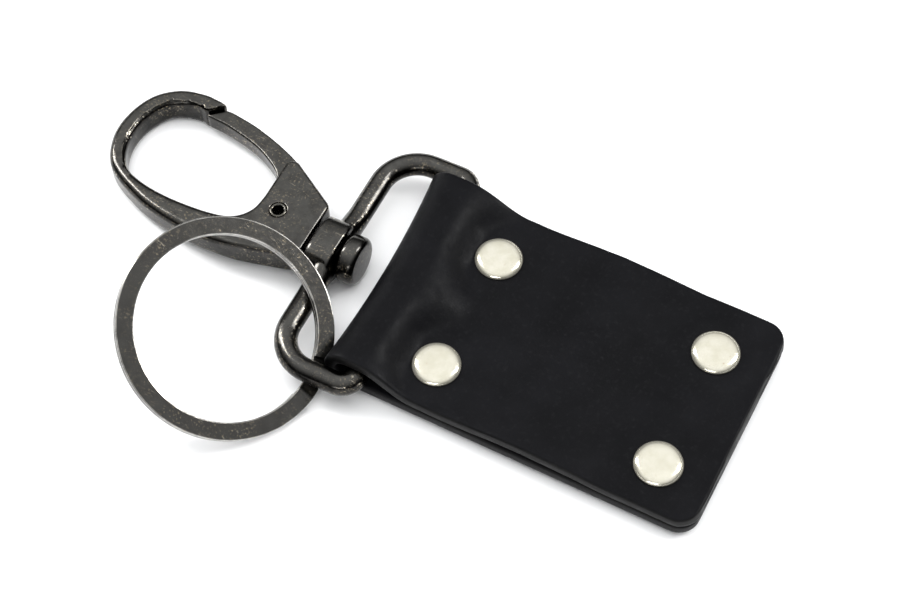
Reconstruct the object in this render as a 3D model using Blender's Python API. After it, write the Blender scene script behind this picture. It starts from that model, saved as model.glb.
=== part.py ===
"""Snap-hook key holder: a folded leather tab with four double-cap rivets, an oblong swivel loop,
a push-gate hook that turns on a headed pin, and a two-turn split ring threaded through the loop.

Lengths below are in millimetres and become metres where a mesh is made. X runs along the strap to its
free end, Y across it, Z up. The floor is z = 0.
"""

import math

import bmesh
import bpy
import numpy as np
from mathutils import Matrix, Vector

MM = 0.001

# Driving dimensions.
STRAP_WIDTH = 38.0
STRAP_END = 60.6
LEATHER = 2.0
LAYER_GAP = 0.05
WIRE_RADIUS = 1.86
FOLD_CLEARANCE = 0.08
CAP_RADIUS = 3.81
HOOK_THICKNESS = 5.0
RING_RADIUS = 17.25

# Strap, lying with its lower layer level on the rivets' back caps.
CAP_BACK = 1.11
BOTTOM_MID = CAP_BACK + LEATHER / 2
TOP_MID = BOTTOM_MID + LEATHER + LAYER_GAP
LEATHER_TOP = TOP_MID + LEATHER / 2
FOLD_RADIUS = WIRE_RADIUS + FOLD_CLEARANCE + LEATHER / 2
FOLD_X = 2.8
FOLD_Z = BOTTOM_MID + FOLD_RADIUS
BAR_X = 4.55
BAR_Z = BOTTOM_MID + LEATHER / 2 + WIRE_RADIUS + FOLD_CLEARANCE + 0.04
SLOPE_START = 5.7
SLOPE_END = 11.1
END_CORNER = 3.5
EDGE_CHAMFER = 0.25
BULGE = 0.75
END_LIFT = 0.3
RIVET_X = (14.6, 51.8)
RIVET_Y = (-11.55, 9.85)
RIVET_HOLE = 1.9
MOUTH_FROM = 17.3
MOUTH_RADIUS = 3.12
BACK_SAG = 0.05

# Loop, in its own frame: the bar in the fold is at x = 0, the arm with the eye on -X.
LOOP_PITCH = 13.7
LOOP_LOW = -21.25
LOOP_HIGH = 21.15
BAR_CORNER = 3.8
ARM_CORNER = 6.4
SWIVEL_Y = -0.3
EYE_X = (-17.3, -12.6)
EYE_HALF_Y = 5.0
EYE_HALF_Z = 3.7
FLARE_LENGTH = 9.2
SHANK_RADIUS = 1.5
SHANK_BORE = 1.57

# Gate pivot and hook tip, in the loop's frame.
PIVOT_X = -25.05
PIVOT_Y = 1.55
HOOK_REACH = 57.4

# Hook, in its own plan with the gate's pivot at (0, 0).
AXIS_Y = SWIVEL_Y - PIVOT_Y
HEAD_X = (13.1, 16.1)
HEAD_RADIUS = 4.0
BLOCK_END = 7.0
SHANK_END = 3.95
EAR_GAP = 3.4
GATE_THICKNESS = 3.2
PIN_RADIUS = 1.4
PIN_BORE = 0.9
PIN_HOLE = 1.46
SPRING_Y = -4.2

# The whole loop and hook lean so that the hook's tip rests on the floor.
LEAN = math.asin((BAR_Z - HOOK_THICKNESS / 2 - 0.05) / HOOK_REACH)

# Split ring: centre over the floor, normal, flat wire, the step between its turns and the direction
# that the turns' angles are measured from.
RING_XY = (-15.85, -22.58)
RING_NORMAL = (0.484, -0.152, 0.862)
RING_WIRE = (2.8, 0.77)
RING_TURN_GAP = 0.06
STEP_FROM = -17.5
STEP_TO = -38.0
TOP_END = -14.6
RING_ZERO = (0.8901, 0.4558, 0.0)


def clear_scene():
    for item in list(bpy.data.objects):
        bpy.data.objects.remove(item, do_unlink=True)


def make_material(name, colour, metallic, roughness):
    made = bpy.data.materials.new(name)
    made.use_nodes = True
    shader = made.node_tree.nodes["Principled BSDF"]
    shader.inputs["Base Color"].default_value = (*colour, 1.0)
    shader.inputs["Metallic"].default_value = metallic
    shader.inputs["Roughness"].default_value = roughness
    return made


def make_object(name, points, faces, material, frame, origin=(0.0, 0.0, 0.0), smooth=True):
    """A mesh object from millimetre points in a frame, with its origin at a point of that frame."""
    start = Vector(origin)
    mesh = bpy.data.meshes.new(name)
    mesh.from_pydata([(Vector(point) - start) * MM for point in points], [], faces)
    mesh.validate()
    shape = bmesh.new()
    shape.from_mesh(mesh)
    bmesh.ops.recalc_face_normals(shape, faces=shape.faces)
    shape.to_mesh(mesh)
    shape.free()
    made = bpy.data.objects.new(name, mesh)
    made.matrix_world = frame @ Matrix.Translation(start * MM)
    bpy.context.scene.collection.objects.link(made)
    made.data.materials.append(material)
    if smooth:
        for face in mesh.polygons:
            face.use_smooth = True
    return made


def loft(sections, closed=False):
    """Points and faces through sections of equal length, capped at both ends unless closed."""
    count = len(sections[0])
    points = [point for section in sections for point in section]
    faces = []
    spans = len(sections) if closed else len(sections) - 1
    for i in range(spans):
        low = i * count
        high = ((i + 1) % len(sections)) * count
        for j in range(count):
            k = (j + 1) % count
            faces.append((low + j, low + k, high + k, high + j))
    if not closed:
        faces.append(tuple(range(count)))
        faces.append(tuple(range(len(points) - count, len(points))))
    return points, faces


def revolve(profile, segments, place):
    """Turns a closed (radius, height) outline; corners on the axis become one point. place maps a point."""
    points = []
    rings = []
    for radius, height in profile:
        if radius == 0:
            rings.append([len(points)])
            points.append(place(0.0, 0.0, height))
            continue
        rings.append(list(range(len(points), len(points) + segments)))
        for i in range(segments):
            angle = 2 * math.pi * i / segments
            points.append(place(radius * math.cos(angle), radius * math.sin(angle), height))
    faces = []
    for i, ring in enumerate(rings):
        other = rings[(i + 1) % len(rings)]
        if len(ring) == 1 and len(other) == 1:
            continue
        for j in range(segments):
            k = (j + 1) % segments
            if len(ring) == 1:
                faces.append((ring[0], other[k], other[j]))
            elif len(other) == 1:
                faces.append((ring[j], ring[k], other[0]))
            else:
                faces.append((ring[j], ring[k], other[k], other[j]))
    return points, faces


def along_x(y, z):
    """A place for revolve that turns its axis onto X, through (y, z)."""
    return lambda a, b, height: (height, y + a, z + b)


def along_y(x, z):
    """A place for revolve that turns its axis onto Y, through (x, z)."""
    return lambda a, b, height: (x + b, height, z + a)


def upright(x, y):
    """A place for revolve that keeps its axis upright, through (x, y)."""
    return lambda a, b, height: (x + a, y + b, height)


def disc(radius, low, high):
    return [(0, low), (radius, low), (radius, high), (0, high)]


def spline(points, steps):
    """A Catmull-Rom curve through plan points, ends doubled."""
    held = [points[0], *points, points[-1]]
    found = []
    for i in range(1, len(held) - 2):
        p0, p1, p2, p3 = (np.array(held[i + k], float) for k in (-1, 0, 1, 2))
        for j in range(steps):
            t = j / steps
            found.append(
                tuple(
                    0.5
                    * (
                        2 * p1
                        + (p2 - p0) * t
                        + (2 * p0 - 5 * p1 + 4 * p2 - p3) * t**2
                        + (3 * p1 - p0 - 3 * p2 + p3) * t**3
                    )
                )
            )
    found.append(tuple(float(v) for v in points[-1]))
    return found


def arc(centre, radius, start, end, count):
    angles = np.radians(np.linspace(start, end, count))
    return [(centre[0] + radius * math.cos(a), centre[1] + radius * math.sin(a)) for a in angles]


def plate(outline, low, high):
    """An upright prism on a plan outline."""
    return loft([[(x, y, z) for x, y in outline] for z in (low, high)])


def rounded_plate(outline, half, edge):
    """A plate about z = 0 whose upper and lower rims are rounded."""
    flat = np.array(outline)
    before = flat - np.roll(flat, 1, axis=0)
    after = np.roll(flat, -1, axis=0) - flat
    before /= np.linalg.norm(before, axis=1)[:, None]
    after /= np.linalg.norm(after, axis=1)[:, None]
    inward = np.stack([-(before + after)[:, 1], (before + after)[:, 0]], axis=1)
    inward /= np.linalg.norm(inward, axis=1)[:, None]
    sections = []
    for angle in (90, 45, 0, 0, -45, -90):
        inset = edge * (1 - math.cos(math.radians(angle)))
        rise = half - edge + edge * math.sin(math.radians(abs(angle)))
        level = rise if len(sections) < 3 else -rise
        sections.append([(x, y, level) for x, y in flat + inward * inset])
    return loft(sections)


def boolean(target, cutter, operation):
    """Applies one exact Boolean and drops the cutter."""
    modifier = target.modifiers.new("boolean", "BOOLEAN")
    modifier.operation = operation
    modifier.solver = "EXACT"
    modifier.object = cutter
    bpy.context.view_layer.update()
    graph = bpy.context.evaluated_depsgraph_get()
    result = bpy.data.meshes.new_from_object(target.evaluated_get(graph))
    target.modifiers.clear()
    old = target.data
    target.data = result
    bpy.data.meshes.remove(old)
    bpy.data.objects.remove(cutter, do_unlink=True)


def sharpen(target, degrees=38):
    """Smooth shading that keeps edges sharper than this."""
    shape = bmesh.new()
    shape.from_mesh(target.data)
    for face in shape.faces:
        face.smooth = True
    for edge in shape.edges:
        edge.smooth = edge.calc_face_angle(0.0) < math.radians(degrees)
    shape.to_mesh(target.data)
    shape.free()


def strap_half_width(x):
    inside = x - (STRAP_END - END_CORNER)
    half = STRAP_WIDTH / 2
    if inside <= 0:
        return half
    return half - END_CORNER + math.sqrt(max(END_CORNER**2 - inside**2, 0.0))


def top_height(x):
    """Mid-surface of the upper layer: down from the fold, level at the rivets, slack between them."""
    if x < SLOPE_END:
        t = max(x - SLOPE_START, 0.0) / (SLOPE_END - SLOPE_START)
        return TOP_MID + (FOLD_Z + FOLD_RADIUS - TOP_MID) * (1 + math.cos(math.pi * t)) / 2
    slack_from = RIVET_X[0] + CAP_RADIUS + 0.4
    slack_to = RIVET_X[1] - CAP_RADIUS - 0.4
    if slack_from < x < slack_to:
        return TOP_MID + BULGE * math.sin(math.pi * (x - slack_from) / (slack_to - slack_from)) ** 2
    lift_from = RIVET_X[1] + CAP_RADIUS + 0.4
    if x > lift_from:
        return TOP_MID + END_LIFT * ((x - lift_from) / (STRAP_END - lift_from)) ** 2
    return TOP_MID


def strap_path():
    """(x, z) along the mid-surface, from the lower free end round the fold to the upper free end."""
    corner = [STRAP_END - END_CORNER * (1 - math.sin(math.radians(a))) for a in (90, 80, 65, 50, 34, 17, 0)]
    lower = [(x, BOTTOM_MID) for x in [*corner, 46.0]]
    lower += [(x, BOTTOM_MID - BACK_SAG) for x in (40.0, 26.0)]
    lower += [(x, BOTTOM_MID) for x in (20.5, 10.0, FOLD_X)]
    fold = [
        (FOLD_X + FOLD_RADIUS * math.cos(a), FOLD_Z + FOLD_RADIUS * math.sin(a))
        for a in np.radians(np.linspace(-90, -270, 21))
    ]
    slope = [4.2, *np.linspace(SLOPE_START, SLOPE_END, 11)]
    level = [SLOPE_END + 0.7, 14.6, RIVET_X[0] + CAP_RADIUS + 0.4]
    slack = np.linspace(level[-1], RIVET_X[1] - CAP_RADIUS - 0.4, 15)[1:]
    upper = [(x, top_height(x)) for x in [*slope, *level, *slack, 52.0, 55.6, *corner[::-1]]]
    return lower[:-1] + fold + upper


def make_strap(frame, material):
    path = strap_path()
    line = np.array(path)
    run = np.gradient(line, axis=0)
    run /= np.linalg.norm(run, axis=1)[:, None]
    across = np.stack([-run[:, 1], run[:, 0]], axis=1)
    sections = []
    for i, (x, z) in enumerate(path):
        half = strap_half_width(x)
        thick = LEATHER / 2
        if i in (0, len(path) - 1):
            thick -= EDGE_CHAMFER
        cut = EDGE_CHAMFER
        ring = [
            (half - cut, thick),
            (half, thick - cut),
            (half, cut - thick),
            (half - cut, -thick),
            (cut - half, -thick),
            (-half, cut - thick),
            (-half, thick - cut),
            (cut - half, thick),
        ]
        nx, nz = across[i]
        sections.append([(x + nx * off, y, z + nz * off) for y, off in ring])
    strap = make_object("leather_strap", *loft(sections), material, frame)
    for x in RIVET_X:
        for y in RIVET_Y:
            hole = revolve(disc(RIVET_HOLE, -1.0, 9.0), 16, upright(x, y))
            boolean(strap, make_object("hole", *hole, material, frame), "DIFFERENCE")
    for side in (-1, 1):
        outside = STRAP_WIDTH / 2 + 0.3
        mouth = [
            (0, side * MOUTH_FROM),
            (WIRE_RADIUS + 0.05, side * MOUTH_FROM),
            (MOUTH_RADIUS, side * outside),
            (0, side * outside),
        ]
        relief = revolve(mouth, 24, along_y(BAR_X, BAR_Z))
        boolean(strap, make_object("relief", *relief, material, frame), "DIFFERENCE")
    sharpen(strap)
    return strap


def make_rivet(number, x, y, frame, materials):
    """One double-cap rivet: back shell on the floor, post through both layers, socket and face shell."""
    top = LEATHER_TOP
    floor = 0.02
    back = CAP_BACK - 0.05
    base = [
        (0, floor),
        (2.4, floor),
        (3.35, 0.2),
        (CAP_RADIUS, 0.58),
        (3.5, back),
        (3.02, back),
        (3.36, 0.78),
        (3.4, 0.58),
        (2.9, 0.34),
        (0, 0.28),
    ]
    post = [
        (0, 0.36),
        (2.2, 0.38),
        (3.1, 0.55),
        (2.9, 0.85),
        (1.3, 0.9),
        (1.2, 5.2),
        (1.05, 5.35),
        (0.7, 5.35),
        (0.7, 1.5),
        (0, 1.2),
    ]
    socket = [
        (1.3, 3.5),
        (1.72, 3.5),
        (1.72, top + 0.03),
        (2.9, top + 0.05),
        (3.2, top + 0.34),
        (2.3, top + 0.58),
        (1.3, top + 0.6),
    ]
    cap = [
        (0, top + 1.14),
        (1.7, top + 1.06),
        (2.8, top + 0.87),
        (3.5, top + 0.58),
        (CAP_RADIUS, top + 0.3),
        (3.5, top + 0.03),
        (3.02, top + 0.03),
        (3.38, top + 0.22),
        (3.2, top + 0.52),
        (2.4, top + 0.74),
        (0, top + 0.88),
    ]
    place = upright(x, y)
    for name, profile, segments in (
        ("rivet_cap", cap, 20),
        ("rivet_socket", socket, 12),
        ("rivet_post", post, 12),
        ("rivet_base", base, 16),
    ):
        shape = revolve(profile, segments, place)
        made = make_object(f"{name}_{number}", *shape, materials[name], frame, (x, y, 0.0))
        sharpen(made, 50)


def loop_section(x, y, along, radius_across, radius_up, count=12):
    """One elliptic section of the loop's wire, square to a direction in plan."""
    side = (-along[1], along[0])
    found = []
    for i in range(count):
        angle = 2 * math.pi * i / count
        out = radius_across * math.cos(angle)
        found.append((x + side[0] * out, y + side[1] * out, radius_up * math.sin(angle)))
    return found


def boxy(value):
    """Squares off a sine or cosine, so that an ellipse becomes a rounded box."""
    return math.copysign(abs(value) ** 0.7, value)


def make_loop(frame, material):
    sections = []
    flare = np.linspace(-1.0, 1.0, 11)
    for t in flare:
        y = SWIVEL_Y - FLARE_LENGTH * t
        swell = (1 - abs(t)) ** 2 * (1 + 2 * abs(t))
        shift = -0.35 * swell
        sections.append(
            loop_section(
                shift - LOOP_PITCH,
                y,
                (0.0, -1.0),
                WIRE_RADIUS + 0.05 * swell,
                WIRE_RADIUS + 1.5 * swell,
            )
        )
    left = ARM_CORNER - LOOP_PITCH
    for corner, x0, y0, start in (
        (ARM_CORNER, left, LOOP_LOW + ARM_CORNER, 180),
        (BAR_CORNER, -BAR_CORNER, LOOP_LOW + BAR_CORNER, 270),
        (BAR_CORNER, -BAR_CORNER, LOOP_HIGH - BAR_CORNER, 0),
        (ARM_CORNER, left, LOOP_HIGH - ARM_CORNER, 90),
    ):
        for angle in np.radians(np.linspace(start, start + 90, 8)):
            along = (-math.sin(angle), math.cos(angle))
            x = x0 + corner * math.cos(angle)
            y = y0 + corner * math.sin(angle)
            sections.append(loop_section(x, y, along, WIRE_RADIUS, WIRE_RADIUS))
    loop = make_object("swivel_loop", *loft(sections, closed=True), material, frame)
    round_edge = 0.55
    rim = []
    for x, shrink in (
        (EYE_X[0], round_edge),
        (EYE_X[0] + 0.16, 0.2),
        (EYE_X[0] + round_edge, 0.0),
        (EYE_X[1] - round_edge, 0.0),
        (EYE_X[1] - 0.16, 0.2),
        (EYE_X[1], round_edge),
    ):
        rim.append(
            [
                (
                    x,
                    SWIVEL_Y + (EYE_HALF_Y - shrink) * boxy(math.cos(a)),
                    (EYE_HALF_Z - shrink) * boxy(math.sin(a)),
                )
                for a in np.linspace(0, 2 * math.pi, 25)[:-1]
            ]
        )
    boolean(loop, make_object("eye", *loft(rim), material, frame), "UNION")
    bore = revolve(disc(SHANK_BORE, -20.0, -10.0), 24, along_x(SWIVEL_Y, 0.0))
    boolean(loop, make_object("bore", *bore, material, frame), "DIFFERENCE")
    sharpen(loop)
    return loop


def make_pin(frame, origin, material):
    """Headed pin: a thick rounded head inside the loop and a shank through the eye into the hook."""
    left, right = HEAD_X
    profile = [
        (0, SHANK_END),
        (SHANK_RADIUS - 0.2, SHANK_END),
        (SHANK_RADIUS, SHANK_END + 0.2),
        (SHANK_RADIUS, left),
        (HEAD_RADIUS - 0.9, left),
        (HEAD_RADIUS - 0.3, left + 0.25),
        (HEAD_RADIUS, left + 0.85),
        (HEAD_RADIUS, right - 0.8),
        (HEAD_RADIUS - 0.25, right - 0.25),
        (HEAD_RADIUS - 0.8, right),
        (0, right),
    ]
    pin = make_object(
        "swivel_pin", *revolve(profile, 24, along_x(AXIS_Y, 0.0)), material, frame, origin
    )
    sharpen(pin)
    return pin


def mitre_point(offset, reach):
    """A point of the joint between nose and gate: reach along it from its middle, offset towards the nose."""
    angle = math.radians(39.7)
    return (
        -19.15 + reach * math.cos(angle) - offset * math.sin(angle),
        13.2 + reach * math.sin(angle) + offset * math.cos(angle),
    )


def hook_outline():
    """Plan of the hook's body, anticlockwise from the block's lower right corner."""
    inner = spline(
        [(-3.4, 1.65), (-4.0, -1.55), (-6.3, -3.75), (-10.7, -4.8), (-17.7, -5.0), (-23.5, -4.2)]
        + [(-27.0, -2.5), (-29.0, 1.4), (-29.1, 6.1), (-27.2, 10.4), (-24.1, 12.2), (-21.9, 12.6)],
        3,
    )
    outer = spline(
        [(-18.9, 15.0), (-22.5, 15.2), (-26.7, 14.4), (-30.4, 11.2), (-32.2, 6.15), (-31.9, 0.95)]
        + [(-29.0, -4.0), (-22.8, -7.3), (-16.8, -8.9), (-10.6, -9.5), (-4.2, -9.1), (5.6, -6.85)],
        3,
    )
    block = arc((BLOCK_END - 0.8, -5.75), 0.8, -70, 0, 4)
    block += arc((BLOCK_END - 1.3, 3.65), 1.3, 0, 60, 5)
    block += arc((-2.05, 8.35), 1.35, 62, 180, 7)
    nose = [mitre_point(0.45, -1.9), mitre_point(0.15, -1.3), mitre_point(0.15, 1.3), mitre_point(0.5, 1.75)]
    return block + inner + nose + outer[:-1]


def gate_outline():
    """Plan of the gate, anticlockwise: bar, hub round the pin and the tail that the spring pushes."""
    hub = 2.85
    outer = [(-1.6, 9.8), (-5.0, 11.3), (-8.6, 12.55), (-12.3, 13.55), (-16.6, 14.25)]
    tip = [mitre_point(-0.15, 1.75), mitre_point(-0.15, -1.75)]
    inner = [(-19.8, 11.8), (-15.8, 11.4), (-10.3, 10.05), (-6.7, 8.4), (-4.1, 6.45), (-3.0, 3.65)]
    round_left = arc((0.0, 0.0), hub, 170, 215, 6)
    low = SPRING_Y - 1.1
    tail = [(-1.4, low + 0.3), (-1.1, low), (0.4, low), (0.58, low + 0.25)]
    round_right = arc((0.0, 0.0), hub, -77, 20, 9)
    shoulder = [(2.1, 4.45), (0.4, 7.75)]
    return spline(outer, 3) + tip + spline(inner, 3) + round_left + tail + round_right + shoulder


def make_hook(frame, origin, material):
    body = make_object(
        "hook_body", *rounded_plate(hook_outline(), HOOK_THICKNESS / 2, 0.5), material, frame, origin
    )
    wall = 3.15
    slot = [(wall, -5.6), (wall, 12.5), (-10.0, 12.5), (-10.0, -0.9), (-3.1, -0.9), (-3.1, -5.6)]
    cutters = [plate(slot, -EAR_GAP / 2, EAR_GAP / 2)]
    cutters.append(revolve(disc(PIN_HOLE, -4.0, 4.0), 24, upright(0.0, 0.0)))
    cutters.append(revolve(disc(SHANK_RADIUS + 0.05, SHANK_END - 0.1, 13.0), 32, along_x(AXIS_Y, 0.0)))
    cutters.append(revolve(disc(1.05, 2.3, 5.0), 20, along_x(SPRING_Y, 0.0)))
    for shape in cutters:
        boolean(body, make_object("cutter", *shape, material, frame, origin), "DIFFERENCE")
    sharpen(body)
    return body


def make_gate(frame, material):
    gate = make_object("gate", *rounded_plate(gate_outline(), GATE_THICKNESS / 2, 0.3), material, frame)
    hole = revolve(disc(PIN_HOLE, -4.0, 4.0), 24, upright(0.0, 0.0))
    boolean(gate, make_object("hole", *hole, material, frame), "DIFFERENCE")
    sharpen(gate)
    return gate


def make_gate_pin(frame, material):
    """Tubular pin, flush with both ears."""
    half = HOOK_THICKNESS / 2
    profile = [
        (PIN_BORE, -half + 0.1),
        (PIN_BORE + 0.12, -half),
        (PIN_RADIUS - 0.12, -half),
        (PIN_RADIUS, -half + 0.1),
        (PIN_RADIUS, half - 0.1),
        (PIN_RADIUS - 0.12, half),
        (PIN_BORE + 0.12, half),
        (PIN_BORE, half - 0.1),
    ]
    pin = make_object("gate_pin", *revolve(profile, 24, upright(0.0, 0.0)), material, frame)
    sharpen(pin)
    return pin


def make_spring(frame, material):
    """Small compression spring between the gate's tail and its pocket in the block."""
    wire = 0.17
    coil = 0.75
    start, end, turns = 0.85, 4.78, 4.5
    sections = []
    steps = int(turns * 12)
    for i in range(steps + 1):
        t = i / steps
        angle = 2 * math.pi * turns * t
        x = start + (end - start) * t
        radial = (math.cos(angle), math.sin(angle))
        section = []
        for j in range(5):
            around = 2 * math.pi * j / 5
            out = coil + wire * math.cos(around)
            section.append((x + wire * math.sin(around), SPRING_Y + radial[0] * out, radial[1] * out))
        sections.append(section)
    return make_object("gate_spring", *loft(sections), material, frame, (end, SPRING_Y, 0.0))


def ring_frame():
    """Centre height and axes of the split ring, leaning with its lowest edge on the floor."""
    normal = Vector(RING_NORMAL).normalized()
    right = Vector(RING_ZERO)
    right = (right - normal * right.dot(normal)).normalized()
    up = normal.cross(right)
    half = RING_WIRE[1] + RING_TURN_GAP / 2
    height = RING_RADIUS * math.sqrt(1 - normal.z**2) + half * normal.z + 0.02
    return Vector((*RING_XY, height)), right, up, normal


def make_ring(frame, origin, material):
    """Two turns of flat wire joined by one step."""
    centre, right, up, normal = ring_frame()
    width, thick = RING_WIRE
    level = (thick + RING_TURN_GAP) / 2
    middle = RING_RADIUS - width / 2
    cut = 0.2
    angles = list(np.arange(TOP_END, 360 + STEP_TO, 8.0))
    angles += list(np.linspace(360 + STEP_TO, 360 + STEP_FROM, 6))
    angles += list(np.arange(360 + STEP_FROM + 4, 720 + STEP_TO - 1.5, 8.0))
    sections = []
    for angle in angles:
        t = min(max((angle - 360 - STEP_TO) / (STEP_FROM - STEP_TO), 0.0), 1.0)
        lift = level * math.cos(math.pi * t)
        turn = math.radians(angle)
        out = right * math.cos(turn) + up * math.sin(turn)
        section = []
        for along, rise in (
            (width / 2 - cut, thick / 2),
            (width / 2, thick / 2 - cut),
            (width / 2, cut - thick / 2),
            (width / 2 - cut, -thick / 2),
            (cut - width / 2, -thick / 2),
            (-width / 2, cut - thick / 2),
            (-width / 2, thick / 2 - cut),
            (cut - width / 2, thick / 2),
        ):
            section.append(centre + out * (middle + along) + normal * (lift + rise))
        sections.append(section)
    ring = make_object("split_ring", *loft(sections), material, frame, origin)
    sharpen(ring)
    return ring


def centre_on_floor(items):
    """Moves everything in plan so that the whole stands centred on the origin."""
    corners = []
    for item in items:
        matrix = np.array(item.matrix_world)
        points = np.empty(len(item.data.vertices) * 3)
        item.data.vertices.foreach_get("co", points)
        corners.append(points.reshape(-1, 3) @ matrix[:3, :3].T + matrix[:3, 3])
    corners = np.concatenate(corners)
    middle = (corners.min(axis=0) + corners.max(axis=0)) / 2
    shift = Matrix.Translation((-middle[0], -middle[1], -corners[:, 2].min()))
    for item in items:
        item.matrix_world = shift @ item.matrix_world


def main():
    clear_scene()
    leather = make_material("black_leather", (0.02, 0.02, 0.022), 0.0, 0.45)
    gunmetal = make_material("antique_gunmetal", (0.16, 0.155, 0.145), 1.0, 0.35)
    nickel = make_material("pale_nickel", (0.80, 0.77, 0.68), 1.0, 0.25)
    steel = make_material("spring_steel", (0.35, 0.35, 0.36), 1.0, 0.4)
    rivets = {"rivet_cap": nickel, "rivet_socket": steel, "rivet_post": steel, "rivet_base": nickel}
    world = Matrix.Identity(4)
    lean = Matrix.Translation(Vector((BAR_X, 0.0, BAR_Z)) * MM) @ Matrix.Rotation(-LEAN, 4, "Y")
    make_strap(world, leather)
    number = 0
    for x in RIVET_X:
        for y in RIVET_Y:
            number += 1
            make_rivet(number, x, y, world, rivets)
    make_loop(lean, gunmetal)
    plan = lean @ Matrix.Translation(Vector((PIVOT_X, PIVOT_Y, 0.0)) * MM)
    swivel = (BLOCK_END, AXIS_Y, 0.0)
    make_pin(plan, swivel, gunmetal)
    make_hook(plan, swivel, gunmetal)
    make_gate(plan, gunmetal)
    make_gate_pin(plan, gunmetal)
    make_spring(plan, steel)
    hang = Vector((-LOOP_PITCH / 2, LOOP_LOW, 0.0))
    make_ring(world, tuple(lean @ (hang * MM) / MM), gunmetal)
    centre_on_floor([item for item in bpy.data.objects if item.type == "MESH"])
    bpy.context.view_layer.update()


main()
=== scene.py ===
"""Looks of the key holder: folded leather tab with four rivets, swivel loop, snap hook and split ring.

Lengths are in millimetres in the strap's own frame (x along the strap, y across it, z up from the floor).
`place` moves them into the row frame, in metres.
"""

import math

import bmesh
import bpy
import numpy as np
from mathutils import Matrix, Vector, noise


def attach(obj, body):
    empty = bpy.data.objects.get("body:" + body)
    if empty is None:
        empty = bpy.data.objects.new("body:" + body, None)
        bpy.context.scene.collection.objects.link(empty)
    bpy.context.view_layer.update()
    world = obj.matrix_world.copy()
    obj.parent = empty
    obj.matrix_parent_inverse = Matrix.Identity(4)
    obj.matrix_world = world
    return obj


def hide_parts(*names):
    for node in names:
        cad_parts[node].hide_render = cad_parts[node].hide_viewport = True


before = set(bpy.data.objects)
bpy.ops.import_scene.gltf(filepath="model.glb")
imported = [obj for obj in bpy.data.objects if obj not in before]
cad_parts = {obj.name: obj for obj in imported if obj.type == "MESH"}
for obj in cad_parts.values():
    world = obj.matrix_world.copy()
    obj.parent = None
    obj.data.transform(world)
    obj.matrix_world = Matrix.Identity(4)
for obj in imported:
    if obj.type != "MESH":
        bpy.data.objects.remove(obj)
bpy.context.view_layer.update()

MM = 0.001
SHIFT = (-3.906, 8.344, -0.02)

# Strap.
STRAP_HALF = 19.0
STRAP_END = 60.6
END_CORNER = 3.5
LEATHER = 2.0
EDGE_ROUND = 0.42
BOTTOM_MID = 2.11
TOP_MID = 4.16
LEATHER_TOP = 5.16
FOLD_X = 2.8
FOLD_Z = 5.05
FOLD_RADIUS = 2.94
SLOPE_START = 4.8
SLOPE_END = 11.1
SLOPE_SPREAD = 5.0
SLACK = (18.81, 47.59)
BULGE = 0.75
END_LIFT = 0.3
PUCKER = (0.13, 5.4, 1.2)  # height of the ridge round each cap, its radius and its width
HOLE_RADIUS = 1.9
RIVET_X = (14.6, 51.8)
RIVET_Y = (-11.55, 9.85)
CAP_RADIUS = 3.81

# Loop and hook.
BAR = (4.55, 0.0, 5.09)
WIRE_RADIUS = 1.86
LOOP_PITCH = 13.7
LOOP_LOW = -21.25
LOOP_HIGH = 21.15
BAR_CORNER = 2.5
ARM_CORNER = 6.4
SWIVEL_Y = -0.3
FLARE_LENGTH = 9.2
EYE_X = (-17.3, -12.6)
EYE_HALF = (5.0, 3.7)
EYE_SQUARE = 0.7
EYE_EDGE = 0.6
SHANK_RADIUS = 1.5
SHANK_BORE = 1.57
PIVOT = (-25.05, 1.55, 0.0)
AXIS_Y = SWIVEL_Y - PIVOT[1]
HOOK_THICKNESS = 5.0
GATE_THICKNESS = 3.2
EAR_GAP = 3.4
BLOCK_END = 7.0
SHANK_END = 3.95
HEAD_X = (13.1, 16.1)
HEAD_RADIUS = 4.0
PIN_HOLE = 1.46
SPRING_Y = -4.2
HOOK_REACH = 57.4
LEAN = math.asin((BAR[2] - HOOK_THICKNESS / 2 - 0.05) / HOOK_REACH)

# Split ring.
RING_RADIUS = 17.25
RING_XY = (-15.85, -22.58)
RING_NORMAL = (0.484, -0.152, 0.862)
RING_ZERO = (0.8901, 0.4558, 0.0)
RING_WIRE = (2.8, 0.77)
RING_TURN_GAP = 0.06
STEP_FROM = -17.5
STEP_TO = -38.0
TOP_END = -14.6


# ---------------------------------------------------------------- camera and light


def set_camera():
    """A long lens, 59 degrees above the floor and 27 degrees round from the strap's side."""
    azimuth, elevation, distance = math.radians(27.116), math.radians(58.942), 343.81
    back = Vector(
        (
            math.sin(azimuth) * math.cos(elevation),
            -math.cos(azimuth) * math.cos(elevation),
            math.sin(elevation),
        )
    )
    target = (Vector((9.690, 2.531, 0.0)) + Vector(SHIFT)) * MM
    data = bpy.data.cameras.new("camera")
    data.sensor_width = 36.0
    data.lens = 86.66
    data.clip_start = 0.01
    camera = bpy.data.objects.new("camera", data)
    camera.location = target + back * distance * MM
    camera.rotation_euler = back.to_track_quat("Z", "Y").to_euler()
    bpy.context.scene.collection.objects.link(camera)
    bpy.context.scene.camera = camera


def area_light(name, spot, aim, size, power, colour=(1.0, 1.0, 1.0)):
    data = bpy.data.lights.new(name, "AREA")
    data.shape = "RECTANGLE"
    data.size, data.size_y = size
    data.energy = power
    data.color = colour
    lamp = bpy.data.objects.new(name, data)
    lamp.location = spot
    lamp.rotation_euler = (Vector(spot) - Vector(aim)).to_track_quat("Z", "Y").to_euler()
    bpy.context.scene.collection.objects.link(lamp)
    return lamp


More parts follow.
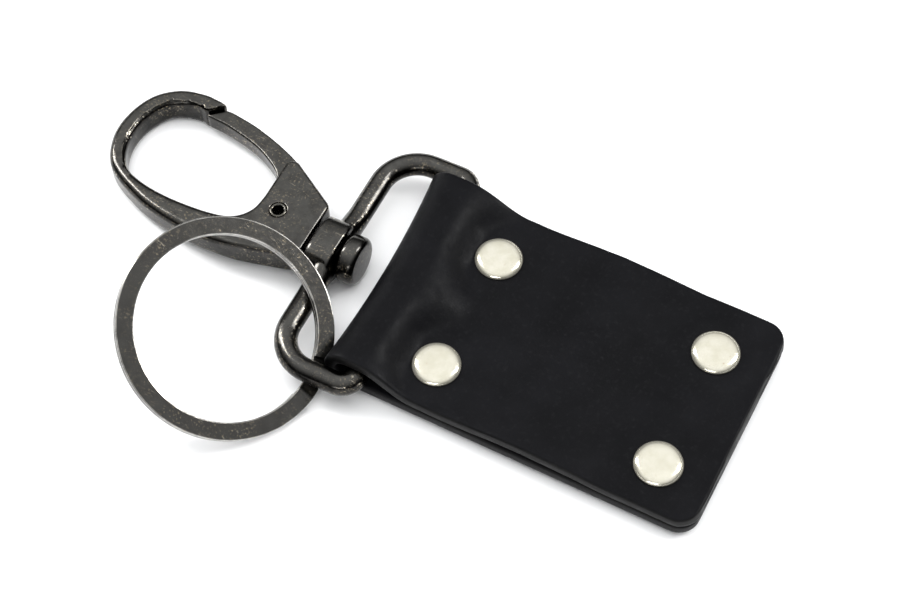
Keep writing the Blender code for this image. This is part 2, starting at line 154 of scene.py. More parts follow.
def set_light():
    area_light("left", (-0.42, 0.05, 0.30), (0.0, 0.0, 0.0), (0.10, 0.34), 1.5)
    area_light("right", (0.34, 0.26, 0.34), (0.0, 0.0, 0.0), (0.12, 0.30), 1.3)
    area_light("front", (0.10, -0.42, 0.16), (0.0, 0.0, 0.0), (0.30, 0.05), 0.5)
    fill = area_light("fill", (-0.05, 0.05, 0.80), (0.0, 0.0, 0.0), (0.9, 0.9), 6.2)
    fill.visible_glossy = False
    world = bpy.data.worlds.new("studio")
    bpy.context.scene.world = world
    world.use_nodes = True
    nodes = world.node_tree.nodes
    links = world.node_tree.links
    direction = nodes.new("ShaderNodeTexCoord")
    split = nodes.new("ShaderNodeSeparateXYZ")
    rise = nodes.new("ShaderNodeMapRange")
    rise.inputs["From Min"].default_value = 0.28
    rise.inputs["From Max"].default_value = 0.85
    rise.inputs["To Min"].default_value = 0.06
    rise.inputs["To Max"].default_value = 0.90
    links.new(direction.outputs["Generated"], split.inputs["Vector"])
    links.new(split.outputs["Z"], rise.inputs["Value"])
    links.new(rise.outputs["Result"], nodes["Background"].inputs["Strength"])
    nodes["Background"].inputs["Color"].default_value = (0.96, 0.98, 1.0, 1.0)
    bpy.context.scene.view_settings.view_transform = "Standard"


# ---------------------------------------------------------------- materials


class Shader:
    """A node material built up by name."""

    def __init__(self, name):
        self.material = bpy.data.materials.new(name)
        self.material.use_nodes = True
        self.tree = self.material.node_tree
        self.surface = self.tree.nodes["Principled BSDF"]
        self.place = self.node("ShaderNodeTexCoord")

    def node(self, kind, **settings):
        made = self.tree.nodes.new(kind)
        for key, value in settings.items():
            setattr(made, key, value)
        return made

    def link(self, source, target):
        self.tree.links.new(source, target)

    def mapped(self, scale):
        """Object coordinates, in cells of 1 mm times scale."""
        made = self.node("ShaderNodeMapping")
        made.inputs["Scale"].default_value = [1000 * value for value in scale]
        self.link(self.place.outputs["Object"], made.inputs["Vector"])
        return made.outputs["Vector"]

    def noise(self, scale, detail=4.0, rough=0.55, stretch=(1.0, 1.0, 1.0)):
        made = self.node("ShaderNodeTexNoise")
        made.inputs["Scale"].default_value = scale
        made.inputs["Detail"].default_value = detail
        made.inputs["Roughness"].default_value = rough
        self.link(self.mapped(stretch), made.inputs["Vector"])
        return made.outputs["Fac"]

    def cells(self, scale, feature="DISTANCE_TO_EDGE"):
        made = self.node("ShaderNodeTexVoronoi", feature=feature)
        made.inputs["Scale"].default_value = scale
        self.link(self.mapped((1.0, 1.0, 1.0)), made.inputs["Vector"])
        return made.outputs["Distance"]

    def ramp(self, value, low, high, to_low=0.0, to_high=1.0):
        made = self.node("ShaderNodeMapRange", clamp=True)
        made.inputs["From Min"].default_value = low
        made.inputs["From Max"].default_value = high
        made.inputs["To Min"].default_value = to_low
        made.inputs["To Max"].default_value = to_high
        self.link(value, made.inputs["Value"])
        return made.outputs["Result"]

    def maths(self, operation, first, second):
        made = self.node("ShaderNodeMath", operation=operation)
        for socket, value in zip(made.inputs, (first, second)):
            if isinstance(value, float):
                socket.default_value = value
            else:
                self.link(value, socket)
        return made.outputs["Value"]

    def mix(self, factor, first, second):
        made = self.node("ShaderNodeMix", data_type="RGBA")
        self.link(factor, made.inputs["Factor"])
        for socket, value in ((made.inputs["A"], first), (made.inputs["B"], second)):
            if isinstance(value, tuple):
                socket.default_value = (*value, 1.0)
            else:
                self.link(value, socket)
        return made.outputs["Result"]

    def bump(self, height, strength, distance):
        made = self.node("ShaderNodeBump")
        made.inputs["Strength"].default_value = strength
        made.inputs["Distance"].default_value = distance * MM
        self.link(height, made.inputs["Height"])
        previous = self.surface.inputs["Normal"]
        if previous.is_linked:
            self.link(previous.links[0].from_socket, made.inputs["Normal"])
        self.link(made.outputs["Normal"], previous)

    def colour(self, socket):
        self.link(socket, self.surface.inputs["Base Color"])

    def roughness(self, socket):
        self.link(socket, self.surface.inputs["Roughness"])


def leather_material():
    shader = Shader("black_leather_look")
    cloud = shader.noise(0.12, 3.0)
    fine = shader.noise(1.6, 4.0)
    dark, mid = (0.0022, 0.0022, 0.0028), (0.0040, 0.0040, 0.0050)
    tone = shader.mix(shader.ramp(cloud, 0.35, 0.7), dark, mid)
    shader.colour(shader.mix(shader.ramp(fine, 0.55, 0.8), tone, (0.0065, 0.0065, 0.0074)))
    shader.roughness(shader.ramp(shader.noise(0.5, 5.0), 0.3, 0.7, 0.38, 0.56))
    shader.surface.inputs["Specular IOR Level"].default_value = 0.11
    shader.bump(shader.cells(2.3), 0.35, 0.05)
    shader.bump(shader.noise(3.6, 6.0, 0.65), 0.4, 0.04)
    shader.bump(shader.noise(0.35, 3.0), 0.3, 0.25)
    return shader.material


def edge_material():
    """Painted cut edge of the leather: smoother and without grain."""
    shader = Shader("leather_edge_look")
    fine = shader.noise(0.9, 5.0, 0.6, (0.35, 0.35, 2.2))
    dark, light = (0.0015, 0.0015, 0.0018), (0.0060, 0.0058, 0.0056)
    shader.colour(shader.mix(shader.ramp(fine, 0.4, 0.7), dark, light))
    shader.roughness(shader.ramp(fine, 0.3, 0.7, 0.34, 0.6))
    shader.surface.inputs["Specular IOR Level"].default_value = 0.12
    shader.bump(shader.noise(2.4, 5.0, 0.6, (0.3, 0.3, 1.6)), 0.35, 0.05)
    return shader.material


def gunmetal_material(name="antique_gunmetal_look", face=0.12, side=0.018, worn_rims=True):
    """Blackened plating, with upward faces coloured face and sides coloured side: partly worn plating,
    partly painted shade on the sides. Worn to brass-silver on edges and scratches.
    """
    shader = Shader(name)
    split = shader.node("ShaderNodeSeparateXYZ")
    shader.link(shader.place.outputs["Normal"], split.inputs["Vector"])
    upward = shader.maths("ABSOLUTE", split.outputs["Z"], 0.0)
    # Mask of upward-facing surfaces. Lighter tops are partly wear; the dark side colour is painted shade
    # standing in for the dark reflections on the sides.
    top_wear_and_side_shade = shader.ramp(upward, 0.60, 0.98)
    cloud = shader.noise(0.55, 6.0, 0.65)
    base = shader.mix(top_wear_and_side_shade, (side, side * 0.97, side * 0.92), (face, face * 0.965, face * 0.89))
    mottled = shader.mix(shader.ramp(cloud, 0.42, 0.66, 0.0, 0.55), base, (0.055, 0.052, 0.048))
    speck = shader.ramp(shader.noise(2.6, 5.0, 0.7), 0.56, 0.68, 0.0, 0.8)
    patch = shader.ramp(shader.noise(0.22, 2.0), 0.38, 0.56)
    worn = shader.mix(shader.maths("MULTIPLY", speck, patch), mottled, (0.45, 0.38, 0.27))
    scratch = shader.ramp(shader.noise(0.9, 7.0, 0.72, (0.35, 2.6, 1.0)), 0.61, 0.69, 0.0, 0.85)
    scratched = shader.mix(shader.maths("MULTIPLY", scratch, patch), worn, (0.62, 0.55, 0.44))
    shader.colour(scratched)
    if worn_rims:
        geometry = shader.node("ShaderNodeNewGeometry")
        rim = shader.ramp(geometry.outputs["Pointiness"], 0.52, 0.58, 0.0, 0.75)
        shader.colour(shader.mix(rim, scratched, (0.50, 0.46, 0.38)))
    shader.surface.inputs["Metallic"].default_value = 1.0
    shader.roughness(shader.ramp(shader.noise(1.1, 6.0, 0.6), 0.3, 0.7, 0.12, 0.28))
    shader.bump(shader.noise(1.3, 6.0, 0.6), 0.28, 0.08)
    shader.bump(shader.noise(5.0, 3.0, 0.6), 0.15, 0.03)
    return shader.material


def nickel_material():
    shader = Shader("pale_nickel_look")
    cloud = shader.noise(0.45, 3.0)
    tone = shader.mix(shader.ramp(cloud, 0.35, 0.65), (0.79, 0.75, 0.61), (0.87, 0.83, 0.70))
    speck = shader.ramp(shader.noise(3.0, 2.0, 0.5), 0.74, 0.78)
    shader.colour(shader.mix(speck, tone, (0.42, 0.20, 0.11)))
    shader.surface.inputs["Metallic"].default_value = 0.8
    shader.roughness(shader.ramp(shader.noise(0.8, 5.0), 0.3, 0.7, 0.16, 0.27))
    shader.bump(shader.noise(0.5, 2.0), 0.12, 0.12)
    return shader.material


def steel_material():
    shader = Shader("spring_steel_look")
    fine = shader.noise(2.0, 5.0)
    shader.colour(shader.mix(shader.ramp(fine, 0.3, 0.7), (0.30, 0.30, 0.31), (0.46, 0.46, 0.47)))
    shader.surface.inputs["Metallic"].default_value = 1.0
    shader.roughness(shader.ramp(fine, 0.3, 0.7, 0.28, 0.42))
    return shader.material


def floor_material():
    shader = Shader("floor_look")
    fine = shader.noise(0.02, 2.0)
    shader.colour(shader.mix(fine, (0.93, 0.93, 0.93), (0.95, 0.95, 0.95)))
    shader.surface.inputs["Roughness"].default_value = 0.8
    return shader.material


# ---------------------------------------------------------------- mesh helpers


def place(point):
    return [(value + move) * MM for value, move in zip(point, SHIFT)]


def leaning(point):
    """A point of the loop's frame in the strap's frame."""
    x, y, z = point
    turn = -LEAN
    return (
        BAR[0] + x * math.cos(turn) + z * math.sin(turn),
        y,
        BAR[2] - x * math.sin(turn) + z * math.cos(turn),
    )


def hooked(point):
    """A point of the hook's plan, with the gate's pivot at the origin, in the strap's frame."""
    return leaning([value + move for value, move in zip(point, PIVOT)])


def same(point):
    return point


def make_object(name, points, faces, material, where=same):
    mesh = bpy.data.meshes.new(name)
    mesh.from_pydata([place(where(point)) for point in points], [], faces)
    mesh.validate()
    shape = bmesh.new()
    shape.from_mesh(mesh)
    bmesh.ops.recalc_face_normals(shape, faces=shape.faces)
    shape.to_mesh(mesh)
    shape.free()
    for face in mesh.polygons:
        face.use_smooth = True
    made = bpy.data.objects.new(name, mesh)
    bpy.context.scene.collection.objects.link(made)
    mesh.materials.append(material)
    return made


def loft(sections, closed=False):
    count = len(sections[0])
    points = [point for section in sections for point in section]
    faces = []
    for i in range(len(sections) if closed else len(sections) - 1):
        low = i * count
        high = ((i + 1) % len(sections)) * count
        for j in range(count):
            k = (j + 1) % count
            faces.append((low + j, low + k, high + k, high + j))
    if not closed:
        faces.append(tuple(range(count)))
        faces.append(tuple(range(len(points) - count, len(points))))
    return points, faces


def revolve(profile, segments, turned):
    """Turns an outline of (radius, height) about an axis; turned places (a, b, height)."""
    points = []
    rings = []
    for radius, height in profile:
        if radius == 0:
            rings.append([len(points)])
            points.append(turned(0.0, 0.0, height))
            continue
        rings.append(list(range(len(points), len(points) + segments)))
        for i in range(segments):
            angle = 2 * math.pi * i / segments
            points.append(turned(radius * math.cos(angle), radius * math.sin(angle), height))
    faces = []
    for i, ring in enumerate(rings):
        other = rings[(i + 1) % len(rings)]
        if len(ring) == 1 and len(other) == 1:
            continue
        for j in range(segments):
            k = (j + 1) % segments
            if len(ring) == 1:
                faces.append((ring[0], other[k], other[j]))
            elif len(other) == 1:
                faces.append((ring[j], ring[k], other[0]))
            else:
                faces.append((ring[j], ring[k], other[k], other[j]))
    return points, faces


def along_x(y, z):
    return lambda a, b, height: (height, y + a, z + b)


def upright(x, y):
    return lambda a, b, height: (x + a, y + b, height)


def disc(radius, low, high):
    return [(0, low), (radius, low), (radius, high), (0, high)]


def spline(points, steps):
    """A Catmull-Rom curve through points of any dimension, ends doubled."""
    held = [points[0], *points, points[-1]]
    found = []
    for i in range(1, len(held) - 2):
        p0, p1, p2, p3 = (np.array(held[i + k], float) for k in (-1, 0, 1, 2))
        for j in range(steps):
            t = j / steps
            found.append(
                tuple(
                    0.5
                    * (
                        2 * p1
                        + (p2 - p0) * t
                        + (2 * p0 - 5 * p1 + 4 * p2 - p3) * t**2
                        + (3 * p1 - p0 - 3 * p2 + p3) * t**3
                    )
                )
            )
    found.append(tuple(float(v) for v in points[-1]))
    return found


def arc(centre, radius, start, end, count):
    angles = np.radians(np.linspace(start, end, count))
    return [(centre[0] + radius * math.cos(a), centre[1] + radius * math.sin(a)) for a in angles]


def plate(outline, low, high):
    return loft([[(x, y, z) for x, y in outline] for z in (low, high)])


def settle(target, modifier):
    """Applies a modifier to the object's mesh."""
    bpy.context.view_layer.update()
    graph = bpy.context.evaluated_depsgraph_get()
    result = bpy.data.meshes.new_from_object(target.evaluated_get(graph))
    target.modifiers.remove(modifier)
    old = target.data
    target.data = result
    bpy.data.meshes.remove(old)


def boolean(target, cutter, operation):
    modifier = target.modifiers.new("boolean", "BOOLEAN")
    modifier.operation = operation
    modifier.solver = "EXACT"
    modifier.object = cutter
    settle(target, modifier)
    bpy.data.objects.remove(cutter, do_unlink=True)


def cast(target, voxel, rounds):
    """Rounds every edge a little, as on a die casting: voxels, then smoothing."""
    modifier = target.modifiers.new("voxels", "REMESH")
    modifier.mode = "VOXEL"
    modifier.voxel_size = voxel * MM
    modifier.use_smooth_shade = True
    settle(target, modifier)
    modifier = target.modifiers.new("smooth", "SMOOTH")
    modifier.factor = 0.5
    modifier.iterations = rounds
    settle(target, modifier)
    for face in target.data.polygons:
        face.use_smooth = True


def sharpen(target, degrees=35):
    shape = bmesh.new()
    shape.from_mesh(target.data)
    for face in shape.faces:
        face.smooth = True
    for edge in shape.edges:
        edge.smooth = edge.calc_face_angle(0.0) < math.radians(degrees)
    shape.to_mesh(target.data)
    shape.free()


# ---------------------------------------------------------------- strap


def strap_top(x, y):
    """Height of the upper layer: it comes down from the fold soonest beside the rivets."""
    beside = min(abs(y - rivet_y) for rivet_y in RIVET_Y)
    free = min(max((beside - 2.5) / 8.0, 0.0), 1.0)
    slope_end = SLOPE_END + SLOPE_SPREAD * free * free * (3 - 2 * free)
    if x < slope_end:
        t = max(x - SLOPE_START, 0.0) / (slope_end - SLOPE_START)
        return TOP_MID + (FOLD_Z + FOLD_RADIUS - TOP_MID) * (1 + math.cos(math.pi * t)) / 2
    if SLACK[0] < x < SLACK[1]:
        return TOP_MID + BULGE * math.sin(math.pi * (x - SLACK[0]) / (SLACK[1] - SLACK[0])) ** 2
    lift_from = RIVET_X[1] + CAP_RADIUS + 0.4
    if x > lift_from:
        return TOP_MID + END_LIFT * ((x - lift_from) / (STRAP_END - lift_from)) ** 2
    return TOP_MID


def strap_half(x):
    inside = max(x - (STRAP_END - END_CORNER), 0.0)
    return STRAP_HALF - END_CORNER + math.sqrt(max(END_CORNER**2 - inside**2, 0.0))


def strap_thick(x):
    inside = max(x - (STRAP_END - EDGE_ROUND), 0.0)
    return LEATHER / 2 - EDGE_ROUND + math.sqrt(max(EDGE_ROUND**2 - inside**2, 0.0))


def strap_stations():
    """(x, z, upper) along the lower layer, round the fold and out along the upper one.

    z is None on the upper layer, whose height also depends on y: see strap_top.
    """
    close = [STRAP_END - END_CORNER * (1 - math.sin(math.radians(a))) for a in range(10, 84, 8)]
    close += [STRAP_END - EDGE_ROUND * (1 - math.sin(math.radians(a))) for a in (5, 25, 45, 65, 90)]
    level = list(np.arange(FOLD_X + 0.6, STRAP_END - END_CORNER, 0.6))
    out = sorted(set(level + close))
    lower = [(x, BOTTOM_MID, 0.0) for x in out[::-1]]
    fold = [
        (FOLD_X + FOLD_RADIUS * math.cos(a), FOLD_Z + FOLD_RADIUS * math.sin(a), t)
        for a, t in zip(np.radians(np.linspace(-90, -270, 41)), np.linspace(0, 1, 41))
    ]
    upper = [(x, None, 1.0) for x in out]
    return lower + fold + upper


def strap_shape(x, y, z, upper):
    """Moves a point of the mid-surface: the fold bows in at its middle, leather puckers round the caps."""
    across = y / STRAP_HALF
    near_fold = min(max((11.0 - x) / 8.0, 0.0), 1.0)
    near_fold *= near_fold * (3 - 2 * near_fold)
    x += (0.75 - 0.3 * across - 1.05 * across**2) * near_fold
    lift = 0.0
    ridge, ridge_radius, ridge_width = PUCKER
    for rivet_x in RIVET_X:
        for rivet_y in RIVET_Y:
            far = math.hypot(x - rivet_x, y - rivet_y)
            lift += ridge * math.exp(-(((far - ridge_radius) / ridge_width) ** 2))
    soft = noise.noise(Vector((x * 0.13, y * 0.11, 3.7))) * 0.16
    soft += noise.noise(Vector((x * 0.42, y * 0.20, 8.1))) * 0.05
    away = min((math.hypot(x - rx, y - ry) for rx in RIVET_X for ry in RIVET_Y))
    free = min(max((away - 4.2) / 3.0, 0.0), 1.0) * min(max((x - 7.0) / 6.0, 0.0), 1.0)
    return x, z + upper * (lift + soft * free)


def make_strap(top_material, cut_material):
    columns = 72
    stations = strap_stations()
    slots = []
    for f in np.linspace(-1, 1, columns):
        slots.append((f, 0.0, 1.0, 0.0))
    for a in (60, 30, 0):
        slots.append((1.0, math.cos(math.radians(a)), 1.0, 1 - math.sin(math.radians(a))))
    for a in (0, 30, 60):
        slots.append((1.0, math.cos(math.radians(a)), -1.0, 1 - math.sin(math.radians(a))))
    for f in np.linspace(1, -1, columns):
        slots.append((f, 0.0, -1.0, 0.0))
    for a in (60, 30, 0):
        slots.append((-1.0, math.cos(math.radians(a)), -1.0, 1 - math.sin(math.radians(a))))
    for a in (0, 30, 60):
        slots.append((-1.0, math.cos(math.radians(a)), 1.0, 1 - math.sin(math.radians(a))))
    grid = np.zeros((len(stations), len(slots), 3))
    for j, (f, out, side, down) in enumerate(slots):
        line = []
        offs = []
        for x, z, upper in stations:
            half = strap_half(x)
            y = f * (half - EDGE_ROUND) + math.copysign(out * EDGE_ROUND, f)
            moved = strap_shape(x, y, strap_top(x, y) if z is None else z, upper)
            line.append((moved[0], y, moved[1]))
            offs.append(side * (strap_thick(x) - down * EDGE_ROUND))
        line = np.array(line)
        run = np.gradient(line[:, [0, 2]], axis=0)
        run /= np.linalg.norm(run, axis=1)[:, None]
        grid[:, j] = line
        grid[:, j, 0] -= run[:, 1] * np.array(offs)
        grid[:, j, 2] += run[:, 0] * np.array(offs)
    points, faces = loft([[tuple(point) for point in row] for row in grid])
    strap = make_object("strap", points, faces, top_material)
    strap.data.materials.append(cut_material)
    for x in RIVET_X:
        for y in RIVET_Y:
            hole = revolve(disc(HOLE_RADIUS, -1.0, 9.0), 32, upright(x, y))
            boolean(strap, make_object("hole", *hole, cut_material), "DIFFERENCE")
    mesh = strap.data
    for face in mesh.polygons:
        face.use_smooth = True
        normal = face.normal
        end = face.center.x > (STRAP_END + SHIFT[0] - 0.5) * MM and normal.x > 0.5
        if abs(normal.y) > 0.6 or end or (normal.x > 0.5 and face.center.x > 0.04):
            face.material_index = 1
    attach(strap, "tab")
    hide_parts("leather_strap")
    return strap


# ---------------------------------------------------------------- rivets


def cap_profile(low, up):
    """Domed shell with a rolled rim, from height low; up scales it, and is negative for a back cap."""
    outer = [(0, 1.14), (0.9, 1.135), (1.8, 1.115), (2.4, 1.08), (2.8, 1.03), (3.1, 0.95), (3.35, 0.83)]
    outer += [(3.58, 0.64), (3.74, 0.42), (CAP_RADIUS, 0.24), (3.76, 0.12), (3.6, 0.045), (3.4, 0.03)]
    inner = [(3.05, 0.03), (3.2, 0.12), (3.38, 0.22), (3.3, 0.42), (2.9, 0.62), (2.2, 0.77), (0, 0.88)]
    return [(radius, low + up * height) for radius, height in outer + inner]


def make_rivets(material):
    number = 0
    for x in RIVET_X:
        for y in RIVET_Y:
            number += 1
            for kind, profile in (
                ("cap", cap_profile(LEATHER_TOP, 1)),
                ("base", cap_profile(BOTTOM_MID - LEATHER / 2, -0.955)),
            ):
                made = make_object(f"{kind}_{number}", *revolve(profile, 96, upright(x, y)), material)
                sharpen(made, 60)
                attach(made, "tab")
                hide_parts(f"rivet_{kind}_{number}")


# ---------------------------------------------------------------- loop and pin


def loop_section(x, y, along, radius_across, radius_up, count=40):
    side = (-along[1], along[0])
    found = []
    for i in range(count):
        angle = 2 * math.pi * i / count
        out = radius_across * math.cos(angle)
        found.append((x + side[0] * out, y + side[1] * out, radius_up * math.sin(angle)))
    return found


def boxy(value):
    """Squares off a circle's sine or cosine."""
    return math.copysign(abs(value) ** EYE_SQUARE, value)


def make_loop(material):
    sections = []
    for t in np.linspace(-1.0, 1.0, 41):
        y = SWIVEL_Y - FLARE_LENGTH * t
        swell = (1 - abs(t)) ** 2 * (1 + 2 * abs(t))
        sections.append(
            loop_section(
                -LOOP_PITCH - 0.35 * swell,
                y,
                (0.0, -1.0),
                WIRE_RADIUS + 0.05 * swell,
                WIRE_RADIUS + 1.5 * swell,
            )
        )
    left = ARM_CORNER - LOOP_PITCH
    for corner, x0, y0, start in (
        (ARM_CORNER, left, LOOP_LOW + ARM_CORNER, 180),
        (BAR_CORNER, -BAR_CORNER, LOOP_LOW + BAR_CORNER, 270),
        (BAR_CORNER, -BAR_CORNER, LOOP_HIGH - BAR_CORNER, 0),
        (ARM_CORNER, left, LOOP_HIGH - ARM_CORNER, 90),
    ):
        for angle in np.radians(np.linspace(start, start + 90, 25)):
            along = (-math.sin(angle), math.cos(angle))
            x = x0 + corner * math.cos(angle)
            y = y0 + corner * math.sin(angle)
            sections.append(loop_section(x, y, along, WIRE_RADIUS, WIRE_RADIUS))
    loop = make_object("loop", *loft(sections, closed=True), material, leaning)
    rim = []
    for a in np.radians((0, 30, 60, 90)):
        edge = EYE_EDGE * (1 - math.sin(a))
        rim.append((EYE_X[0] + EYE_EDGE * (1 - math.cos(a)), edge))
    rim += [(EYE_X[0] + EYE_X[1] - x, edge) for x, edge in rim[::-1]]
    eye = [
        [
            (
                x,
                SWIVEL_Y + (EYE_HALF[0] - edge) * boxy(math.cos(a)),
                (EYE_HALF[1] - edge) * boxy(math.sin(a)),
            )
            for a in np.linspace(0, 2 * math.pi, 65)[:-1]
        ]
        for x, edge in rim
    ]
    boolean(loop, make_object("eye", *loft(eye), material, leaning), "UNION")
    bore = revolve(disc(SHANK_BORE + 0.02, -20.0, -10.0), 48, along_x(SWIVEL_Y, 0.0))
    boolean(loop, make_object("bore", *bore, material, leaning), "DIFFERENCE")
    cast(loop, 0.13, 6)
    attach(loop, "loop")
    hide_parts("swivel_loop")


def make_pin(material):
    left, right = HEAD_X
    profile = [(0, SHANK_END), (SHANK_RADIUS - 0.2, SHANK_END), (SHANK_RADIUS, SHANK_END + 0.2)]
    profile += [(SHANK_RADIUS, left)]
    under, crown = 0.75, 1.0
    for a in np.radians(np.linspace(0, 90, 9)):
        profile.append((HEAD_RADIUS - under + under * math.sin(a), left + under - under * math.cos(a)))
    for a in np.radians(np.linspace(0, 90, 11)):
        profile.append((HEAD_RADIUS - crown + crown * math.cos(a), right - crown + crown * math.sin(a)))
    profile += [(0, right)]
    pin = make_object("pin", *revolve(profile, 80, along_x(AXIS_Y, 0.0)), material, hooked)
    sharpen(pin, 50)
    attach(pin, "hook")
    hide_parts("swivel_pin")


# ---------------------------------------------------------------- hook and gate


def mitre_point(offset, reach):
    angle = math.radians(39.7)
    return (
        -19.15 + reach * math.cos(angle) - offset * math.sin(angle),
        13.2 + reach * math.sin(angle) + offset * math.cos(angle),
    )


def hook_outline():
    inner = spline(
        [(-3.4, 1.65), (-4.0, -1.55), (-6.3, -3.75), (-10.7, -4.8), (-17.7, -5.0), (-23.5, -4.2)]
        + [(-27.0, -2.5), (-29.0, 1.4), (-29.1, 6.1), (-27.2, 10.4), (-24.1, 12.2), (-21.9, 12.6)],
        8,
    )
    outer = spline(
        [(-18.9, 15.0), (-22.5, 15.2), (-26.7, 14.4), (-30.4, 11.2), (-32.2, 6.15), (-31.9, 0.95)]
        + [(-29.0, -4.0), (-22.8, -7.3), (-16.8, -8.9), (-10.6, -9.5), (-4.2, -9.1), (5.6, -6.85)],
        8,
    )
    block = arc((BLOCK_END - 0.8, -5.75), 0.8, -70, 0, 6)
    block += arc((BLOCK_END - 1.3, 3.65), 1.3, 0, 60, 8)
    block += arc((-2.05, 8.35), 1.35, 62, 180, 12)
    nose = [mitre_point(*spot) for spot in ((0.45, -1.9), (0.15, -1.3), (0.15, 1.3), (0.5, 1.75))]
    return block + inner + nose + outer[:-1]


def gate_outline():
    hub = 2.85
    outer = [(-1.6, 9.8), (-5.0, 11.3), (-8.6, 12.55), (-12.3, 13.55), (-16.6, 14.25)]
    tip = [mitre_point(-0.15, 1.75), mitre_point(-0.15, -1.75)]
    inner = [(-19.8, 11.8), (-15.8, 11.4), (-10.3, 10.05), (-6.7, 8.4), (-4.1, 6.45), (-3.0, 3.65)]
    round_left = arc((0.0, 0.0), hub, 170, 215, 8)
    low = SPRING_Y - 1.1
    tail = [(-1.4, low + 0.3), (-1.1, low), (0.4, low), (0.58, low + 0.25)]
    round_right = arc((0.0, 0.0), hub, -77, 20, 14)
    shoulder = [(2.1, 4.45), (0.4, 7.75)]
    return spline(outer, 6) + tip + spline(inner, 6) + round_left + tail + round_right + shoulder


def limb_edge(x, y):
    """Rim radius of the hook: a nearly round bar on the limb, flatter on the block and at the nose."""
    limb = min(max((-2.5 - x) / 5.0, 0.0), 1.0)
    nose = min(max((x + 26.0) / 4.0, 0.0), 1.0) if y > 9.0 else 0.0
    return 0.6 + 0.65 * limb * limb * (3 - 2 * limb) * (1 - 0.75 * nose)


def rounded_plate(outline, half, edges, steps):
    """A plate about z = 0 whose upper and lower rims are rounded, by one radius for each outline point."""
    flat = np.array(outline)
    edges = np.array(edges)[:, None]
    before = flat - np.roll(flat, 1, axis=0)
    after = np.roll(flat, -1, axis=0) - flat
    before /= np.linalg.norm(before, axis=1)[:, None]
    after /= np.linalg.norm(after, axis=1)[:, None]
    inward = np.stack([-(before + after)[:, 1], (before + after)[:, 0]], axis=1)
    inward /= np.linalg.norm(inward, axis=1)[:, None]
    turns = list(np.linspace(90, 0, steps))
    sections = []
    for sign in (1, -1):
        for angle in turns if sign == 1 else turns[::-1]:
            inset = edges * (1 - math.cos(math.radians(angle)))
            level = sign * (half - edges + edges * math.sin(math.radians(angle)))
            sections.append([tuple(map(float, row)) for row in np.hstack([flat + inward * inset, level])])
    return loft(sections)


def make_hook(material):
    outline = hook_outline()
    shape = rounded_plate(outline, HOOK_THICKNESS / 2, [limb_edge(x, y) for x, y in outline], 8)
    body = make_object("hook", *shape, material, hooked)
    wall = 3.15
    slot = [(wall, -5.6), (wall, 12.5), (-10.0, 12.5), (-10.0, -0.9), (-3.1, -0.9), (-3.1, -5.6)]
    cutters = [plate(slot, -EAR_GAP / 2, EAR_GAP / 2)]
    cutters.append(revolve(disc(PIN_HOLE, -4.0, 4.0), 40, upright(0.0, 0.0)))
    cutters.append(revolve(disc(SHANK_RADIUS + 0.05, SHANK_END - 0.1, 13.0), 40, along_x(AXIS_Y, 0.0)))
    cutters.append(revolve(disc(1.05, 2.3, 5.0), 28, along_x(SPRING_Y, 0.0)))
    for cutter in cutters:
        boolean(body, make_object("cutter", *cutter, material, hooked), "DIFFERENCE")
    cast(body, 0.12, 6)
    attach(body, "hook")
    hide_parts("hook_body")


def make_gate(material):
    outline = gate_outline()
    shape = rounded_plate(outline, GATE_THICKNESS / 2, [0.3] * len(outline), 5)
    gate = make_object("gate_lever", *shape, material, hooked)
    hole = revolve(disc(PIN_HOLE, -4.0, 4.0), 40, upright(0.0, 0.0))
    boolean(gate, make_object("hole", *hole, material, hooked), "DIFFERENCE")
    cast(gate, 0.1, 8)
    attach(gate, "gate")
    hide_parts("gate")


def make_gate_pin(material):
    """Tubular rivet with rolled ends, flush with both ears."""
    half = HOOK_THICKNESS / 2
    outer, bore = 1.4, 0.9
    mid = (outer + bore) / 2
    roll = (outer - bore) / 2
    turns = np.radians(np.linspace(0, 180, 9))
    top = [(mid + roll * math.cos(a), half - roll + roll * math.sin(a)) for a in turns]
    low = [(radius, -height) for radius, height in top[::-1]]
    pin = make_object("hinge_pin", *revolve(top + low, 48, upright(0.0, 0.0)), material, hooked)
    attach(pin, "hook")
    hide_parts("gate_pin")


# ---------------------------------------------------------------- split ring


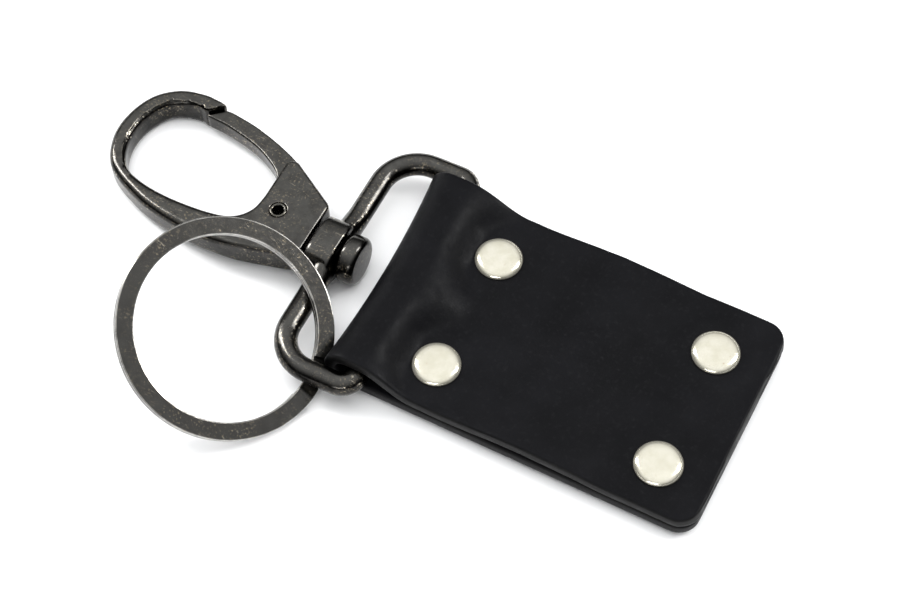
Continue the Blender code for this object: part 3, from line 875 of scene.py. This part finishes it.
def make_ring(material, rim_material):
    normal = Vector(RING_NORMAL).normalized()
    right = Vector(RING_ZERO)
    right = (right - normal * right.dot(normal)).normalized()
    up = normal.cross(right)
    width, thick = RING_WIRE
    half = thick + RING_TURN_GAP / 2
    height = RING_RADIUS * math.sqrt(1 - normal.z**2) + half * normal.z + 0.02
    centre = Vector((*RING_XY, height))
    level = (thick + RING_TURN_GAP) / 2
    middle = RING_RADIUS - width / 2
    bevel = 0.19
    corner_steps = 4
    rim = []
    for a0, sx, sy in ((0, 1, 1), (90, -1, 1), (180, -1, -1), (270, 1, -1)):
        for a in np.radians(np.linspace(a0, a0 + 90, corner_steps)):
            across = sx * (width / 2 - bevel) + bevel * math.cos(a)
            rim.append((across, sy * (thick / 2 - bevel) + bevel * math.sin(a)))
    angles = np.concatenate(
        [
            np.arange(TOP_END, 360 + STEP_TO, 2.0),
            np.linspace(360 + STEP_TO, 360 + STEP_FROM, 14),
            np.arange(360 + STEP_FROM + 2, 720 + STEP_TO - 1.5, 2.0),
        ]
    )
    sections = []
    for angle in angles:
        t = min(max((angle - 360 - STEP_TO) / (STEP_FROM - STEP_TO), 0.0), 1.0)
        lift = level * math.cos(math.pi * t)
        turn = math.radians(angle)
        out = right * math.cos(turn) + up * math.sin(turn)
        sections.append(
            [tuple(centre + out * (middle + along) + normal * (lift + rise)) for along, rise in rim]
        )
    ring = make_object("ring", *loft(sections), material)
    ring.data.materials.append(rim_material)
    for index, face in enumerate(ring.data.polygons[:-2]):
        if index % len(rim) % corner_steps != corner_steps - 1:
            face.material_index = 1
    sharpen(ring, 10)
    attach(ring, "key_ring")
    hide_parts("split_ring")


# ---------------------------------------------------------------- scene


def make_floor():
    size = 3000.0
    corners = [(x * size, y * size, 0.0) for x, y in ((-1, -1), (1, -1), (1, 1), (-1, 1))]
    floor = make_object("floor", corners, [(0, 1, 2, 3)], floor_material())


def paint_kept(material):
    """Material for the CAD nodes that stay in view."""
    for name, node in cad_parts.items():
        if name.startswith(("rivet_socket", "rivet_post", "gate_spring")):
            node.data.materials.clear()
            node.data.materials.append(material)


set_camera()
set_light()
gunmetal = gunmetal_material()
nickel = nickel_material()
steel = steel_material()
make_strap(leather_material(), edge_material())
make_rivets(nickel)
make_loop(gunmetal)
make_pin(gunmetal)
make_hook(gunmetal)
make_gate(gunmetal)
make_gate_pin(gunmetal)
# Each ring material's second number is its face colour and its third its side colour; the darker side
# colour is partly painted shade.
make_ring(
    gunmetal_material("ring_gunmetal_look", 0.115, 0.025, worn_rims=False),
    gunmetal_material("ring_rim_look", 0.62, 0.50, worn_rims=False),
)
paint_kept(steel)
make_floor()
